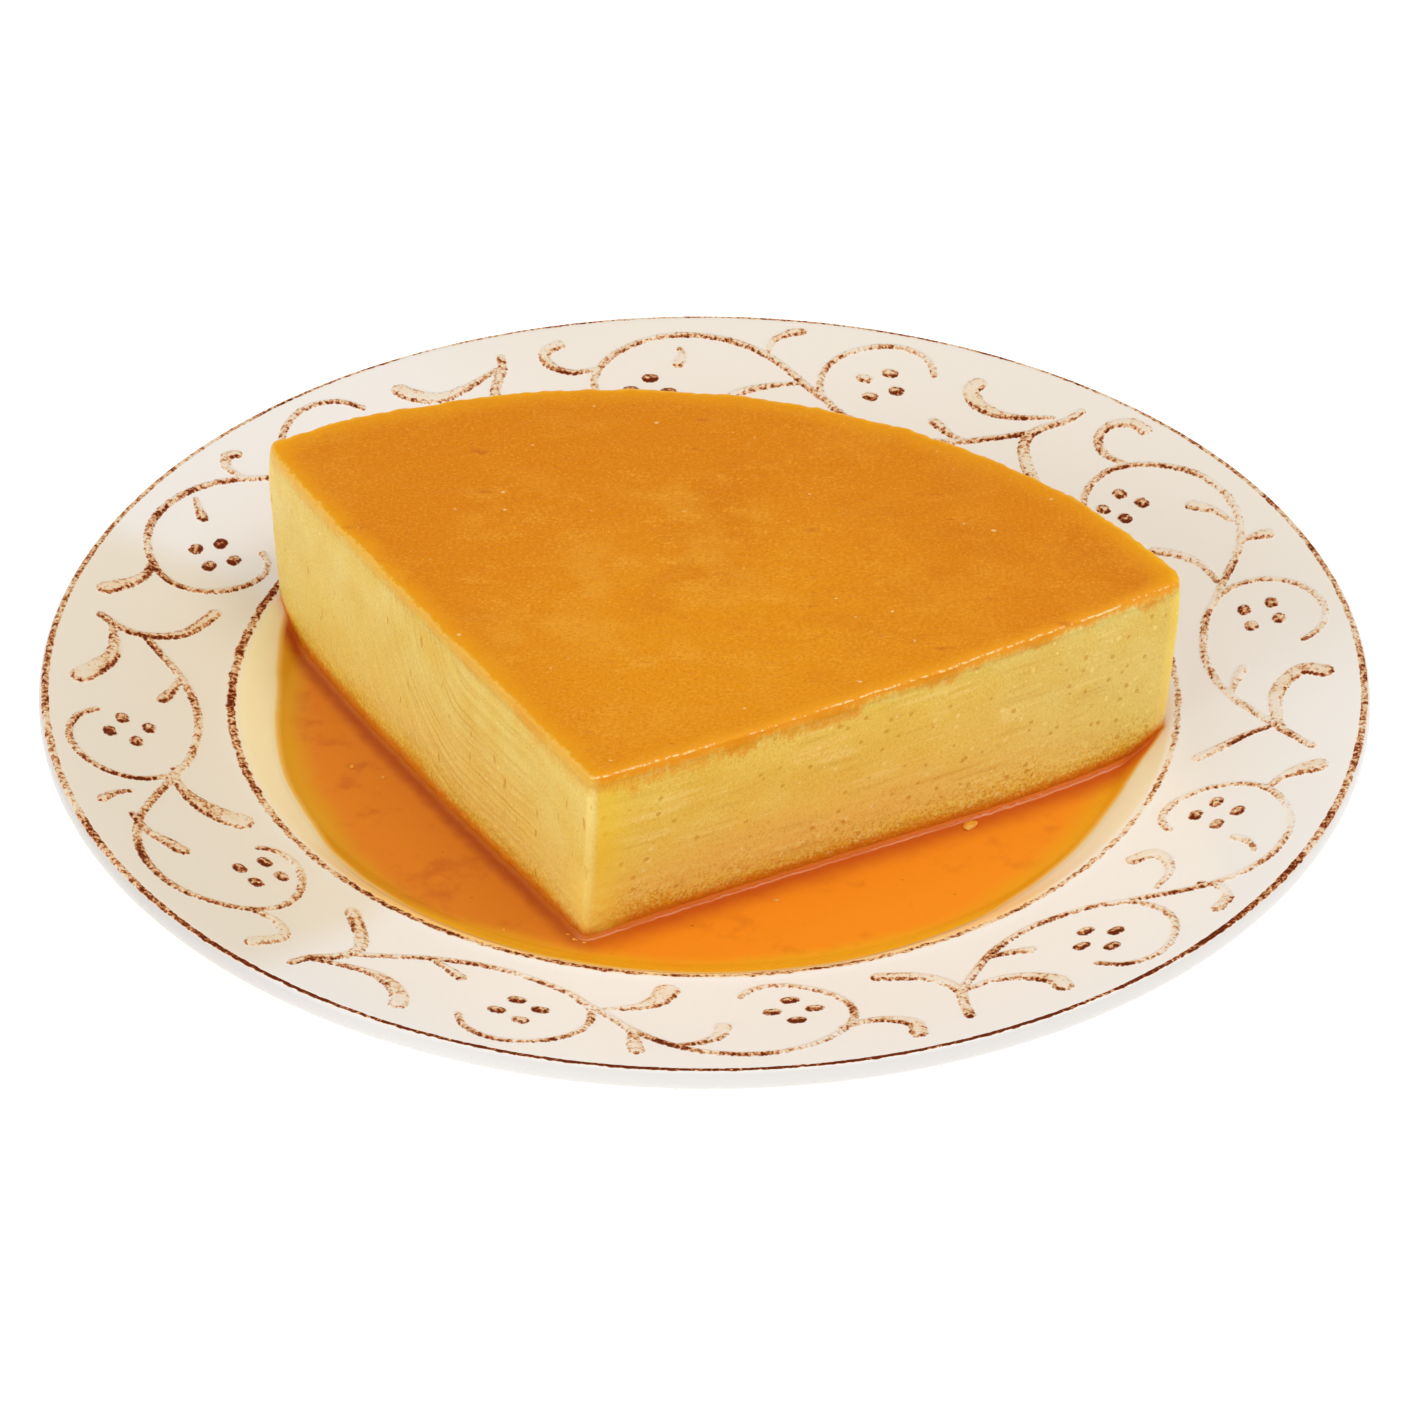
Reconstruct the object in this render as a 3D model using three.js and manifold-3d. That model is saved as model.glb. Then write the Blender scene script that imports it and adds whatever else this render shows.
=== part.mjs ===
// Caramel pudding on its plate: a quarter wedge of set custard under a thin caramel top,
// standing in a pool of caramel syrup in the well of a round stoneware plate.
// Millimetres, +Z up. The plate's centre is at x = 0, y = 0 and its foot stands on z = 0.

import * as THREE from 'three';
import Module from 'manifold-3d';

// ---------- driving sizes ----------

const pieceGap = 0.3;

const plateRadius = 115;
const rimLineRadius = 114;
const rimLineHeight = 22.3;
const lipThickness = 4;
const ringRadius = 82.2;
const ringHeight = 16.5;
const ringBeadRise = 0.1;
const ringBeadEnd = -0.05;
const ringBeadHalfWidth = 1.6;
const floorHeight = 7.5;
const floorRadius = 54;
const footOuterRadius = 64;
const footInnerRadius = 58;
const footDepth = 3;
const plateSegments = 96;

const syrupHeight = 11.8;
const syrupRadius = 74;

const topHeight = 46.1;
const caramelThickness = 2.2;
const caramelEdgeRound = 0.5;

// The wedge is cut from a round pudding. Each outline has its cut corner and its two outer corners.
const topOutline = {
  cutCorner: [-18.3, -68.6],
  rightCorner: [80.9, -9.7],
  leftCorner: [-76, 32.3],
};
const baseOutline = {
  cutCorner: [-19.8, -65.9],
  rightCorner: [78.2, -10.2],
  leftCorner: [-73.8, 27.3],
};
// How far each upright edge leans out at half height.
const cornerBelly = { cutCorner: 0, rightCorner: 1, leftCorner: 1.7 };
// How far each cut side swells past straight: its depth, which way that leans, and how evenly it is spread.
const rightSwell = { top: [2.5, 1.15, 0.5], foot: [2.2, 2.4, 1] };
const leftSwell = { top: [2.3, 0.45, 1], foot: [3, 0.6, 1] };
const panRadius = 108.1;
const cutSteps = 12;
const panWallSteps = 26;
const wedgeLevels = [0, 0.1, 0.22, 0.4, 0.65, 0.85, 1];

const colours = {
  glaze: 0xefe8dc,
  custard: 0xe9cf74,
  caramel: 0xdf8a1e,
  syrup: 0xe87e1a,
};

// ---------- booleans ----------

const manifoldLibrary = await Module();
manifoldLibrary.setup();
const { Manifold, Mesh } = manifoldLibrary;

// Makes a boolean solid of a three.js geometry, with equal corners merged.
function toSolid(geometry) {
  const positions = geometry.getAttribute('position');
  const index = geometry.getIndex();
  const cornerOf = new Map();
  const vertProperties = [];
  const triVerts = [];
  const count = index ? index.count : positions.count;
  for (let i = 0; i < count; i += 1) {
    const at = index ? index.getX(i) : i;
    const point = [positions.getX(at), positions.getY(at), positions.getZ(at)];
    const key = point.map((value) => Math.round(value * 1e5)).join(' ');
    if (!cornerOf.has(key)) {
      cornerOf.set(key, vertProperties.length / 3);
      vertProperties.push(...point);
    }
    triVerts.push(cornerOf.get(key));
  }
  const kept = [];
  for (let i = 0; i < triVerts.length; i += 3) {
    const [a, b, c] = triVerts.slice(i, i + 3);
    if (a !== b && b !== c && c !== a) {
      kept.push(a, b, c);
    }
  }
  return new Manifold(new Mesh({
    numProp: 3,
    vertProperties: new Float32Array(vertProperties),
    triVerts: new Uint32Array(kept),
  }));
}

function toGeometry(solid) {
  const mesh = solid.getMesh();
  const geometry = new THREE.BufferGeometry();
  geometry.setAttribute('position', new THREE.BufferAttribute(Float32Array.from(mesh.vertProperties), 3));
  geometry.setIndex(new THREE.BufferAttribute(Uint32Array.from(mesh.triVerts), 1));
  geometry.computeVertexNormals();
  return geometry;
}

// Turns a profile of radius and height round +Z.
function turned(path, divisions) {
  const geometry = new THREE.LatheGeometry(path.getPoints(divisions), plateSegments);
  geometry.rotateX(Math.PI / 2);
  return geometry;
}

// ---------- plate ----------

// The face that the food lies on, from the middle of the well out to the rim line.
function addPlateFace(path, lift) {
  path.lineTo(floorRadius, floorHeight + lift);
  path.bezierCurveTo(
    floorRadius + 9, floorHeight + lift,
    syrupRadius - 6, syrupHeight - 3.5 + lift,
    syrupRadius, syrupHeight + lift,
  );
  path.lineTo(ringRadius - ringBeadHalfWidth, ringHeight - 0.6 + lift);
  path.quadraticCurveTo(
    ringRadius - 0.4, ringHeight + ringBeadRise + lift,
    ringRadius + ringBeadHalfWidth, ringHeight + ringBeadEnd + lift,
  );
  path.bezierCurveTo(
    ringRadius + 11, ringHeight + 1.2 + lift,
    rimLineRadius - 10, rimLineHeight - 1.9 + lift,
    rimLineRadius, rimLineHeight + lift,
  );
}

// The foot, the underside and the lip, from the middle of the plate's back out to the rim line.
function addPlateBack(path) {
  path.lineTo(footInnerRadius - 2, footDepth);
  path.lineTo(footInnerRadius, 0);
  path.lineTo(footOuterRadius, 0);
  path.lineTo(footOuterRadius + 1.5, footDepth);
  path.bezierCurveTo(
    footOuterRadius + 11, footDepth + 1,
    ringRadius - 5, ringHeight - lipThickness - 3,
    ringRadius + 4, ringHeight - lipThickness - 0.2,
  );
  path.lineTo(plateRadius - 3, rimLineHeight - lipThickness - 0.5);
  path.quadraticCurveTo(
    plateRadius, rimLineHeight - lipThickness,
    plateRadius, rimLineHeight - lipThickness / 2,
  );
  path.quadraticCurveTo(plateRadius, rimLineHeight - 0.4, rimLineRadius, rimLineHeight);
}

function plateGeometry() {
  const face = new THREE.Path();
  face.moveTo(0, floorHeight);
  addPlateFace(face, 0);
  const back = new THREE.Path();
  back.moveTo(0, footDepth);
  addPlateBack(back);
  const curveDivisions = 4;
  const profile = back.getPoints(curveDivisions);
  profile.push(...face.getPoints(curveDivisions).reverse().slice(1));
  const geometry = new THREE.LatheGeometry(profile, plateSegments);
  geometry.rotateX(Math.PI / 2);
  return geometry;
}

// All the room over the plate's face, one gap above it.
function roomOverPlate() {
  const path = new THREE.Path();
  path.moveTo(0, floorHeight + pieceGap);
  addPlateFace(path, pieceGap);
  path.lineTo(plateRadius, topHeight + 10);
  path.lineTo(0, topHeight + 10);
  return toSolid(turned(path, 4));
}

// ---------- wedge of pudding ----------

function mix(a, b, share) {
  return a + (b - a) * share;
}

const wedgeMiddle = [0, 1].map(
  (axis) => Object.values(topOutline).reduce((sum, corner) => sum + corner[axis], 0) / 3,
);

// Where an upright edge of the wedge is at a share of the wedge's height.
function cornerAt(name, share) {
  const base = baseOutline[name];
  const top = topOutline[name];
  const out = unit(top[0] - wedgeMiddle[0], top[1] - wedgeMiddle[1]);
  const belly = cornerBelly[name] * (1 - Math.abs(2 * share - 1) ** 4);
  return [mix(base[0], top[0], share) + out[0] * belly, mix(base[1], top[1], share) + out[1] * belly];
}

function swellAt([depth, lean, spread], along) {
  return depth * Math.sin(Math.PI * along ** lean) ** spread;
}

// Points of a cut side from one corner towards the next, without the last one.
function cutSide(from, to, swell, share) {
  const length = Math.hypot(to[0] - from[0], to[1] - from[1]);
  const out = [(to[1] - from[1]) / length, -(to[0] - from[0]) / length];
  const points = [];
  for (let step = 0; step < cutSteps; step += 1) {
    const along = step / cutSteps;
    const proud = swellAt(swell.top, along) * share + swellAt(swell.foot, along) * (1 - share) ** 2;
    points.push([
      mix(from[0], to[0], along) + out[0] * proud,
      mix(from[1], to[1], along) + out[1] * proud,
    ]);
  }
  return points;
}

// Points of the round side that lay against the pan, from the right corner to the left one.
function panSide(from, to) {
  const middle = [(from[0] + to[0]) / 2, (from[1] + to[1]) / 2];
  const half = Math.hypot(to[0] - from[0], to[1] - from[1]) / 2;
  const away = [(to[1] - from[1]) / (2 * half), -(to[0] - from[0]) / (2 * half)];
  const reach = Math.sqrt(panRadius ** 2 - half ** 2);
  const centre = [middle[0] - away[0] * reach, middle[1] - away[1] * reach];
  const start = Math.atan2(from[1] - centre[1], from[0] - centre[0]);
  const sweep = 2 * Math.asin(half / panRadius);
  const points = [];
  for (let step = 0; step < panWallSteps; step += 1) {
    const angle = start + (sweep * step) / panWallSteps;
    points.push([centre[0] + panRadius * Math.cos(angle), centre[1] + panRadius * Math.sin(angle)]);
  }
  return points;
}

// The wedge's outline at a share of its height, grown outwards by a distance.
function wedgeOutline(share, grow) {
  const cutCorner = cornerAt('cutCorner', share);
  const rightCorner = cornerAt('rightCorner', share);
  const leftCorner = cornerAt('leftCorner', share);
  const points = [
    ...cutSide(cutCorner, rightCorner, rightSwell, share),
    ...panSide(rightCorner, leftCorner),
    ...cutSide(leftCorner, cutCorner, leftSwell, share),
  ];
  return points.map((point, i) => {
    const before = points[(i + points.length - 1) % points.length];
    const after = points[(i + 1) % points.length];
    const first = unit(point[1] - before[1], before[0] - point[0]);
    const second = unit(after[1] - point[1], point[0] - after[0]);
    const between = unit(first[0] + second[0], first[1] + second[1]);
    const reach = grow / (first[0] * between[0] + first[1] * between[1]);
    return [point[0] + between[0] * reach, point[1] + between[1] * reach];
  });
}

function unit(x, y) {
  const length = Math.hypot(x, y);
  return [x / length, y / length];
}

// A closed solid through outlines of the same number of points, from the lowest to the highest.
function loft(levels) {
  const around = levels[0].outline.length;
  const positions = [];
  for (const { outline, height } of levels) {
    for (const [x, y] of outline) {
      positions.push(x, y, height);
    }
  }
  const index = [];
  for (let level = 0; level + 1 < levels.length; level += 1) {
    for (let i = 0; i < around; i += 1) {
      const a = level * around + i;
      const b = level * around + (i + 1) % around;
      index.push(a, b, b + around);
      index.push(a, b + around, a + around);
    }
  }
  const last = (levels.length - 1) * around;
  const capOf = (outline) => THREE.ShapeUtils.triangulateShape(
    outline.map(([x, y]) => new THREE.Vector2(x, y)),
    [],
  );
  for (const [a, b, c] of capOf(levels[0].outline)) {
    index.push(c, b, a);
  }
  for (const [a, b, c] of capOf(levels[levels.length - 1].outline)) {
    index.push(last + a, last + b, last + c);
  }
  const geometry = new THREE.BufferGeometry();
  geometry.setAttribute('position', new THREE.Float32BufferAttribute(positions, 3));
  geometry.setIndex(index);
  geometry.computeVertexNormals();
  return geometry;
}

const custardTop = topHeight - caramelThickness - pieceGap;

// The wedge from the well's floor up to a height, grown outwards by a distance.
function wedgeSolid(upTo, grow) {
  const heightOf = (share) => mix(floorHeight, topHeight, share);
  const levels = wedgeLevels
    .filter((share) => heightOf(share) < upTo)
    .map((share) => ({ outline: wedgeOutline(share, grow), height: heightOf(share) }));
  const lastShare = (upTo - floorHeight) / (topHeight - floorHeight);
  levels.push({ outline: wedgeOutline(lastShare, grow), height: upTo });
  return toSolid(loft(levels));
}

function caramelTopGeometry() {
  const shareOf = (height) => (height - floorHeight) / (topHeight - floorHeight);
  const roundFrom = topHeight - caramelEdgeRound;
  return loft([
    { outline: wedgeOutline(shareOf(custardTop + pieceGap), 0), height: custardTop + pieceGap },
    { outline: wedgeOutline(shareOf(roundFrom), 0), height: roundFrom },
    { outline: wedgeOutline(1, -caramelEdgeRound), height: topHeight },
  ]);
}

// ---------- syrup ----------

// The pool fills the well up to its level and leaves the wedge free, which parts it in two.
function syrupPools(room) {
  const path = new THREE.Path();
  path.moveTo(0, 0);
  path.lineTo(plateRadius, 0);
  path.lineTo(plateRadius, syrupHeight);
  path.lineTo(0, syrupHeight);
  const slab = toSolid(turned(path, 1));
  const pool = slab.intersect(room).subtract(wedgeSolid(custardTop, pieceGap));
  const pieces = pool.decompose().sort((a, b) => b.volume() - a.volume()).slice(0, 2);
  const middleY = (solid) => solid.boundingBox().min[1] + solid.boundingBox().max[1];
  return pieces.sort((a, b) => middleY(a) - middleY(b));
}

// ---------- the object ----------

function piece(name, geometry, colour, roughness) {
  const material = new THREE.MeshStandardMaterial({ color: colour, roughness, metalness: 0 });
  const mesh = new THREE.Mesh(geometry, material);
  mesh.name = name;
  return mesh;
}

const room = roomOverPlate();
const custard = wedgeSolid(custardTop, 0).intersect(room);
const [frontPool, backPool] = syrupPools(room);

const pudding = new THREE.Group();
pudding.add(piece('plate', plateGeometry(), colours.glaze, 0.25));
pudding.add(piece('custard', toGeometry(custard), colours.custard, 0.45));
pudding.add(piece('caramel_top', caramelTopGeometry(), colours.caramel, 0.3));
pudding.add(piece('syrup_front', toGeometry(frontPool), colours.syrup, 0.1));
pudding.add(piece('syrup_back', toGeometry(backPool), colours.syrup, 0.1));

export default pudding;
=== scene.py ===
# A quarter wedge of caramel pudding in its syrup, on a cream stoneware plate with a vine in relief.
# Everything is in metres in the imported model's frame; sizes below are in millimetres and scaled by MM.

import math
import random
from bisect import bisect_right

import bmesh
import bpy
from mathutils import Matrix, Vector, geometry, kdtree, noise


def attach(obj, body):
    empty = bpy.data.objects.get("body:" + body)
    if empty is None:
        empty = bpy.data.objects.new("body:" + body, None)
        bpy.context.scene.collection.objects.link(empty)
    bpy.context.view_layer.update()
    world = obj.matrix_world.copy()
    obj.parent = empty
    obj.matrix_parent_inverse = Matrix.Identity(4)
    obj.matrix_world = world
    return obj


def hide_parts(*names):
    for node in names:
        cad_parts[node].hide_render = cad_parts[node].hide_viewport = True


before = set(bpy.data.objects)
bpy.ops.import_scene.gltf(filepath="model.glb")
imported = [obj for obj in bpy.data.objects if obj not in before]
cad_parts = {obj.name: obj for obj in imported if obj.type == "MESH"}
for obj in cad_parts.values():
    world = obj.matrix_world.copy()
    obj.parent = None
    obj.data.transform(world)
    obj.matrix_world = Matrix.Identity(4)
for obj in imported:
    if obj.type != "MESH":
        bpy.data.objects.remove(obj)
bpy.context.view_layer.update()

MM = 0.001


# ---------------------------------------------------------------- camera
# A long lens about a metre away looks down into the plate's well, with the wedge's cut corner in front.
# It leans by a quarter of a degree, and aims a little in front of the well's middle.

well_middle = Vector((0, 0, 16.5)) * MM
aim_point = Vector((-0.2, -5.2, 16.5)) * MM
camera_distance = 1.026
camera_elevation = math.radians(34.85)
camera_roll = math.radians(0.24)
lens_length = 151.06
sensor_width = 36

camera_data = bpy.data.cameras.new("camera")
camera_data.lens = lens_length
camera_data.sensor_width = sensor_width
camera_data.clip_end = 20
camera = bpy.data.objects.new("camera", camera_data)
bpy.context.scene.collection.objects.link(camera)
camera_offset = Vector((0, -math.cos(camera_elevation), math.sin(camera_elevation)))
camera.location = well_middle + camera_offset * camera_distance
looking = (aim_point - camera.location).to_track_quat("-Z", "Y").to_matrix()
camera.rotation_euler = (looking @ Matrix.Rotation(camera_roll, 3, "Z")).to_euler()
bpy.context.scene.camera = camera


# ---------------------------------------------------------------- plate
# Thrown stoneware with a foot ring, a deep well and a broad rising rim that ends in a rounded lip.
# The vine and its berries are pressed out in low relief, and the cream glaze breaks to brown over them.

floor_height = 7.5
floor_radius = 54
syrup_height = 11.8
syrup_radius = 74
ring_radius = 82.2
ring_height = 16.5
rim_line_radius = 114
rim_line_height = 22.3
lip_radius = 115
lip_thickness = 4
foot_depth = 3
foot_outside = 65.5
foot_inside = 56
plate_spin_steps = 360


def curve_to(points, first_handle, second_handle, end, steps):
    """Carries an outline of radius and height on to end along a curve."""
    knots = [Vector((x, y, 0)) for x, y in (points[-1], first_handle, second_handle, end)]
    points.extend((p.x, p.y) for p in geometry.interpolate_bezier(*knots, steps + 1)[1:])


def line_to(points, end, steps):
    start = points[-1]
    for step in range(1, steps + 1):
        share = step / steps
        points.append((start[0] + (end[0] - start[0]) * share, start[1] + (end[1] - start[1]) * share))


face_profile = [(0, floor_height)]
line_to(face_profile, (floor_radius, floor_height), 9)
curve_to(face_profile, (floor_radius + 9, floor_height), (syrup_radius - 6, syrup_height - 3.5),
         (syrup_radius, syrup_height), 10)
line_to(face_profile, (ring_radius - 1.6, ring_height - 0.6), 5)
curve_to(face_profile, (ring_radius - 0.8, ring_height - 0.2), (ring_radius + 0.2, ring_height + 0.05),
         (ring_radius + 1.6, ring_height - 0.05), 7)
curve_to(face_profile, (ring_radius + 11, ring_height + 1.2), (rim_line_radius - 10, rim_line_height - 1.9),
         (rim_line_radius, rim_line_height), 26)
face_radii = [radius for radius, height in face_profile]


def face_height(radius):
    """The height of the plate's food face at a radius, both in millimetres."""
    after = min(max(bisect_right(face_radii, radius), 1), len(face_profile) - 1)
    (r0, z0), (r1, z1) = face_profile[after - 1], face_profile[after]
    return z0 + (z1 - z0) * (radius - r0) / (r1 - r0)


plate_profile = list(face_profile)
curve_to(plate_profile, (lip_radius - 0.35, rim_line_height - 0.15), (lip_radius, rim_line_height - 0.9),
         (lip_radius, rim_line_height - lip_thickness / 2), 7)
curve_to(plate_profile, (lip_radius, rim_line_height - lip_thickness + 0.5),
         (lip_radius - 1, rim_line_height - lip_thickness - 0.2),
         (lip_radius - 3, rim_line_height - lip_thickness - 0.5), 6)
line_to(plate_profile, (ring_radius + 4, ring_height - lip_thickness - 0.2), 6)
curve_to(plate_profile, (ring_radius - 5, ring_height - lip_thickness - 3),
         (foot_outside + 9.5, foot_depth + 1), (foot_outside, foot_depth), 10)
curve_to(plate_profile, (foot_outside - 0.4, foot_depth - 1.6), (foot_outside - 0.8, 0.1),
         (foot_outside - 1.9, 0), 4)
line_to(plate_profile, (foot_inside + 2.4, 0), 3)
curve_to(plate_profile, (foot_inside + 1.4, 0.1), (foot_inside + 1, foot_depth - 1.4),
         (foot_inside, foot_depth), 4)
line_to(plate_profile, (0, foot_depth), 6)

# One repeat of the vine, as degrees past its root and millimetres from the middle of the plate.
# Each stem or leaf has its points, then its half width at the start and at the end. The hooked leaf and
# the comma are never twice alike, so each repeat below has its own.
vine_repeat = {
    "root": ([(-2.5, 108), (-2, 104.5), (-0.6, 101), (0, 98), (-0.5, 95), (-2.3, 91.8), (-5.6, 88)],
             0.8, 1.25),
    "high leaf": ([(-1.6, 104.6), (0.8, 102.6), (3.6, 101.4), (6, 102.4), (7.7, 104.8), (8.5, 107.6)],
                  0.55, 1.3),
    "first stem": ([(0.3, 98.4), (2.9, 94.8), (6.2, 91), (10, 88.7), (14, 87.9), (18, 88.9), (21.8, 91.2),
                    (24.2, 94.6), (25, 98.6), (24.6, 103), (22.9, 107), (20.3, 109.7), (17.6, 110.4),
                    (15, 108.6), (13.6, 105.2)], 0.7, 0.6),
    "bud": ([(6.3, 91.2), (8.4, 92), (10.7, 93.8)], 0.5, 1.05),
    "second stem": ([(23.2, 93.2), (25.7, 96), (29.2, 101.3), (32, 104.9), (35.2, 107.6), (38.6, 108.9),
                     (42, 108.7), (45, 106.9), (47.9, 103.4), (49.6, 99.3), (49.8, 95), (48.6, 90.7),
                     (46, 87.2), (43, 85.9), (40.6, 86.9), (39.4, 88.9)], 0.7, 0.65),
    "low leaf": ([(25.8, 95.2), (28.4, 94.8), (31, 92.9), (32.9, 90.2), (34, 87.4)], 0.5, 1.5),
    "end leaf": ([(48, 102.6), (50.5, 101.5), (52.8, 102.6), (54.2, 105.2), (53.9, 108.6)], 0.65, 1.2),
}
# The modeller drew each repeat by hand: where its root is, how far its stems are squeezed together, where
# its two groups of berries sit and how they are turned, and the leaves that lie otherwise.
vine_hand = [
    {"root at": 234.5, "squeeze": 1.0, "berries": ((18.2, 99.6, -23), (44.3, 94.7, 0)),
     "hooked leaf": ([(27.8, 99.5), (29.2, 102.6), (29.5, 105.6), (29.9, 108.2)], 0.5, 1.1),
     "low leaf": ([(25.9, 94.9), (27.7, 94), (29.6, 92.6), (31, 90.2), (31.6, 87.2)], 0.5, 1.75),
     "comma": ([(33, 105.8), (35.2, 104.8), (36.8, 102.5), (37.3, 99.3)], 0.45, 1.4)},
    {"root at": 294.7, "squeeze": 0.93, "berries": ((15.8, 99.2, 6), (40.8, 94.7, -21)),
     "root": ([(-1.2, 107), (-0.7, 103), (0.1, 98.5), (-0.4, 94), (-2.2, 90.5), (-5.9, 87.9)], 0.8, 1.3),
     "high leaf": ([(0.4, 98.8), (2.8, 98.2), (4.9, 98.8), (6.8, 101), (8.1, 104.5), (8, 107.2)], 0.5, 1.4),
     "hooked leaf": ([(28.6, 102), (28.8, 105.5), (27.7, 108.6), (25.6, 109.3)], 0.55, 0.95),
     "low leaf": ([(26.3, 96.3), (29.3, 95.4), (31.4, 92.6), (31.8, 89.6), (29.9, 87.9)], 0.5, 1.15),
     "comma": ([(35.3, 105.6), (36.6, 103.3), (37, 100.6)], 0.45, 0.95),
     "end leaf": ([(46.3, 101.3), (47.7, 102.5), (48.8, 104.8), (49.6, 107.7)], 0.6, 1.6)},
    {"root at": 351.5, "squeeze": 1.01, "berries": ((19.4, 99.8, 45), (44.7, 93.7, 32)),
     "root": ([(-0.2, 98.5), (-1.2, 94.8), (-3, 91.3), (-5.7, 87)], 0.55, 1.15),
     "high leaf": ([(-4, 106), (-2.4, 102.9), (-0.4, 99.8), (2, 99), (5, 98.8), (7.4, 100.6), (8.9, 103.7),
                    (8, 107.3)], 0.65, 1.4),
     "hooked leaf": ([(31.5, 104.5), (31.4, 106.8), (31, 108.9)], 0.5, 1.15),
     "low leaf": ([(27, 96), (30.5, 95.5), (33.5, 93.6), (35.8, 90.7)], 0.5, 0.9),
     "comma": ([(35, 105.6), (37.4, 104.8), (39.6, 102.7)], 0.5, 1.25),
     "end leaf": ([(49.7, 101.8), (52.5, 101.5), (54.6, 104), (54.8, 108), (53.3, 110.6), (51.6, 110.6)],
                  0.6, 1.05)},
    {"root at": 52.5, "squeeze": 1.0, "berries": ((18.5, 99.9, 14), (43.9, 94.3, 8)),
     "high leaf": ([(-0.5, 104), (2.5, 101.2), (5, 100.2), (7.5, 101), (9.1, 103.6), (8.9, 105.8)],
                   0.5, 1.35),
     "hooked leaf": ([(31.2, 104.5), (30.8, 108), (29.3, 110.4), (28.2, 111)], 0.5, 0.8),
     "low leaf": ([(27.5, 97.3), (30.5, 96), (33.5, 94), (35, 92)], 0.5, 0.9),
     "comma": ([(40.2, 105.3), (40, 103.3), (40.5, 101.3)], 0.5, 1.15),
     "end leaf": ([(49.5, 101.2), (52, 101.2), (53.9, 104), (53.9, 107.3), (52.3, 108.8)], 0.55, 1.0)},
    {"root at": 113.4, "squeeze": 1.01, "berries": ((18, 99.8, 20), (43.4, 95.4, -10)),
     "high leaf": ([(-1.4, 105), (2.6, 102.2), (5.6, 101.5), (8, 103.8), (8.9, 106)], 0.5, 1.45),
     "hooked leaf": ([(30.7, 103.3), (31, 107), (29.7, 109.3), (28.7, 108.6)], 0.55, 0.9),
     "comma": ([(36.9, 106), (38.1, 103.8), (38.9, 102.2)], 0.45, 1.0),
     "end leaf": ([(48.7, 103.5), (50.7, 103.4), (52.7, 105.4), (54.4, 108.2)], 0.65, 1.35)},
    {"root at": 173.5, "squeeze": 1.01, "berries": ((16.8, 100, -14), (44.1, 92.8, 45)),
     "root": ([(-1.5, 107), (-0.5, 103.8), (0.1, 100), (-0.5, 95.7), (-2, 92.3), (-4.5, 90.2), (-7, 89)],
              0.8, 1.1),
     "high leaf": ([(-0.8, 105), (2, 103.4), (4.5, 103.2), (6.5, 104.9), (8.6, 107.7)], 0.6, 1.7),
     "hooked leaf": ([(27.3, 103.5), (27.6, 106.4), (28.4, 108.8)], 0.5, 0.8),
     "low leaf": ([(23.5, 94.2), (26.5, 94.5), (29.5, 93.4), (32.4, 91), (34.4, 88.2)], 0.5, 1.9),
     "comma": ([(31, 105.3), (34, 104.6), (36.4, 102.7), (38, 101.6)], 0.5, 1.3),
     "end leaf": ([(50, 101), (52, 100.3), (54, 101.5), (54.8, 104), (53.9, 108.3)], 0.7, 1.15)},
]
# How far the glaze is broken away over each stem or leaf, from 0 to 1.
stroke_wear = {"root": 0.85, "high leaf": 0.8, "first stem": 0.55, "bud": 0.75, "second stem": 0.6,
               "hooked leaf": 0.7, "low leaf": 0.5, "comma": 0.7, "end leaf": 0.6}
leaf_fullness = 1.2
berry_wear = 2.0
berry_spread = 3.5
berry_half_width = 1.05
berry_length = 0.9
relief_rise = 0.38
relief_shoulder = 0.75
relief_skirt = 0.15
relief_margin = 1.2
relief_cuts = 3
sample_step = 0.3
vine_starts = ring_radius + 1
vine_ends = rim_line_radius - 1
vine_reach = 3.0


def clamp(value):
    return min(max(value, 0), 1)


def ease(value):
    """Goes from 0 to 1 with a soft start and a soft end."""
    value = clamp(value)
    return value * value * (3 - 2 * value)


def on_rim(angle, radius):
    """A point of the rim, flat and in millimetres, from degrees and a radius."""
    return Vector((radius * math.cos(math.radians(angle)), radius * math.sin(math.radians(angle)), 0))


def smooth_line(points, step):
    """Points about a step apart on a smooth line through the given ones."""
    line = [points[0]]
    for i in range(len(points) - 1):
        before = points[max(i - 1, 0)]
        start, end = points[i], points[i + 1]
        after = points[min(i + 2, len(points) - 1)]
        steps = max(2, round((end - start).length / step))
        line.extend(geometry.interpolate_bezier(
            start, start + (end - before) / 6, end - (after - start) / 6, end, steps + 1)[1:])
    return line


vine_samples = []
for repeat in vine_hand:
    for name, wear in stroke_wear.items():
        squeeze = 1.0 if name in repeat else repeat["squeeze"]
        points, half_start, half_end = repeat[name] if name in repeat else vine_repeat[name]
        line = smooth_line([on_rim(repeat["root at"] + angle * squeeze, radius) for angle, radius in points],
                           sample_step)
        for i, point in enumerate(line):
            share = i / (len(line) - 1)
            fullness = leaf_fullness if "leaf" in name else 1
            half_width = half_start + (half_end * fullness - half_start) * ease(share)
            vine_samples.append((point, half_width, wear))
    for angle, radius, turn in repeat["berries"]:
        middle = on_rim(repeat["root at"] + angle, radius)
        outwards = middle.normalized()
        sideways = Vector((-outwards.y, outwards.x, 0))
        for quarter in range(4):
            way = math.radians(turn + 90 * quarter)
            berry = middle + (sideways * math.cos(way) + outwards * math.sin(way)) * berry_spread
            for end in (-0.5, 0, 0.5):
                vine_samples.append((berry + sideways * end * berry_length, berry_half_width, berry_wear))

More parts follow.
